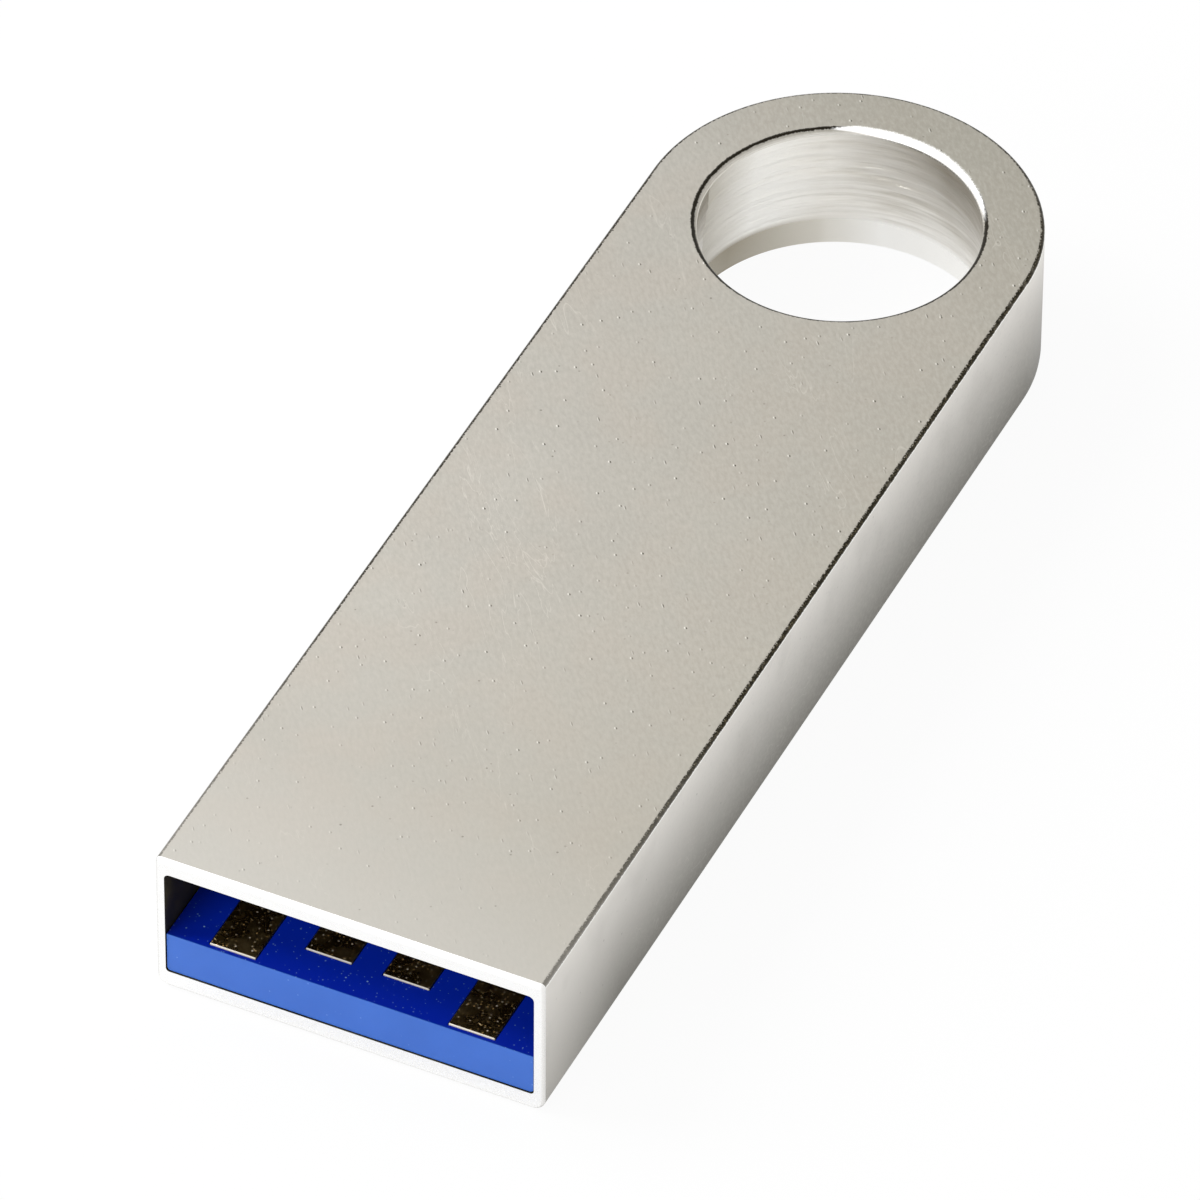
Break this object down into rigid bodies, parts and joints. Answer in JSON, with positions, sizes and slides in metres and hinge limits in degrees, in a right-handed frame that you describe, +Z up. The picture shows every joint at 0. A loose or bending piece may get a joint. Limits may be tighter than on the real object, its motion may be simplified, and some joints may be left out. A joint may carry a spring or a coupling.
{
  "type": "usb flash drive",
  "caption": "Slim one-piece metal USB flash drive: the case is its own plug shell round a blue contact tongue, with a large key ring hole through its rounded end.",
  "frame": {"origin": "centre of the bounding box's footprint, on the flat underside that the drive lies on", "axes": "+Z up through the thickness, +Y along the length towards the key ring hole, so the plug's mouth faces -Y; X across the width"},
  "size_m": [0.0122, 0.0392, 0.0049],
  "materials": {
    "satin_nickel": "satin nickel plate with fine pits and faint scratches",
    "blue_plastic": "semi-matt moulding",
    "gold_plate": "gold plated copper alloy",
    "green_board": "solder mask on glass fibre laminate",
    "black_package": "matt moulded package",
    "crystal_can": "satin metal lid",
    "grey_ferrite": "matt sintered ferrite",
    "tan_ceramic": "fired ceramic with tinned ends",
    "black_resistor": "glazed film with tinned ends",
    "black_plastic": "matt moulding",
    "white_foam": "closed cell foam tape"
  },
  "bodies": {
    "drive": {"housing": "satin_nickel", "contact_carrier": "blue_plastic", "spring_contact_block": "blue_plastic", "ground_contact": "gold_plate", "data_plus_contact": "gold_plate", "data_minus_contact": "gold_plate", "power_contact": "gold_plate", "superspeed_tail_1": "gold_plate", "superspeed_tail_2": "gold_plate", "superspeed_tail_3": "gold_plate", "superspeed_tail_4": "gold_plate", "superspeed_tail_5": "gold_plate", "circuit_board": "green_board", "board_end_holder": "black_plastic", "flash_memory_chip": "black_package", "foam_adhesive_pad": "white_foam", "controller_chip": "black_package", "clock_crystal": "crystal_can", "power_inductor": "grey_ferrite", "coupling_capacitor_1": "tan_ceramic", "coupling_capacitor_2": "tan_ceramic", "decoupling_capacitor_1": "tan_ceramic", "decoupling_capacitor_2": "tan_ceramic", "decoupling_capacitor_3": "tan_ceramic", "decoupling_capacitor_4": "tan_ceramic", "series_resistor_1": "black_resistor", "series_resistor_2": "black_resistor"},
    "spring_1": {"superspeed_spring_1": "gold_plate"},
    "spring_2": {"superspeed_spring_2": "gold_plate"},
    "spring_3": {"superspeed_spring_3": "gold_plate"},
    "spring_4": {"superspeed_spring_4": "gold_plate"},
    "spring_5": {"superspeed_spring_5": "gold_plate"}
  },
  "joints": [
    {"name": "spring_1_flex", "type": "hinge", "parent": "drive", "child": "spring_1", "pos_m": [-0.004, -0.00945, 0.00219], "axis": [1, 0, 0], "range_deg": [0, 6], "stiffness_Nm_per_rad": 0.012},
    {"name": "spring_2_flex", "type": "hinge", "parent": "drive", "child": "spring_2", "pos_m": [-0.002, -0.00945, 0.00219], "axis": [1, 0, 0], "range_deg": [0, 6], "stiffness_Nm_per_rad": 0.012},
    {"name": "spring_3_flex", "type": "hinge", "parent": "drive", "child": "spring_3", "pos_m": [0, -0.00945, 0.00219], "axis": [1, 0, 0], "range_deg": [0, 6], "stiffness_Nm_per_rad": 0.012},
    {"name": "spring_4_flex", "type": "hinge", "parent": "drive", "child": "spring_4", "pos_m": [0.002, -0.00945, 0.00219], "axis": [1, 0, 0], "range_deg": [0, 6], "stiffness_Nm_per_rad": 0.012},
    {"name": "spring_5_flex", "type": "hinge", "parent": "drive", "child": "spring_5", "pos_m": [0.004, -0.00945, 0.00219], "axis": [1, 0, 0], "range_deg": [0, 6], "stiffness_Nm_per_rad": 0.012}
  ]
}
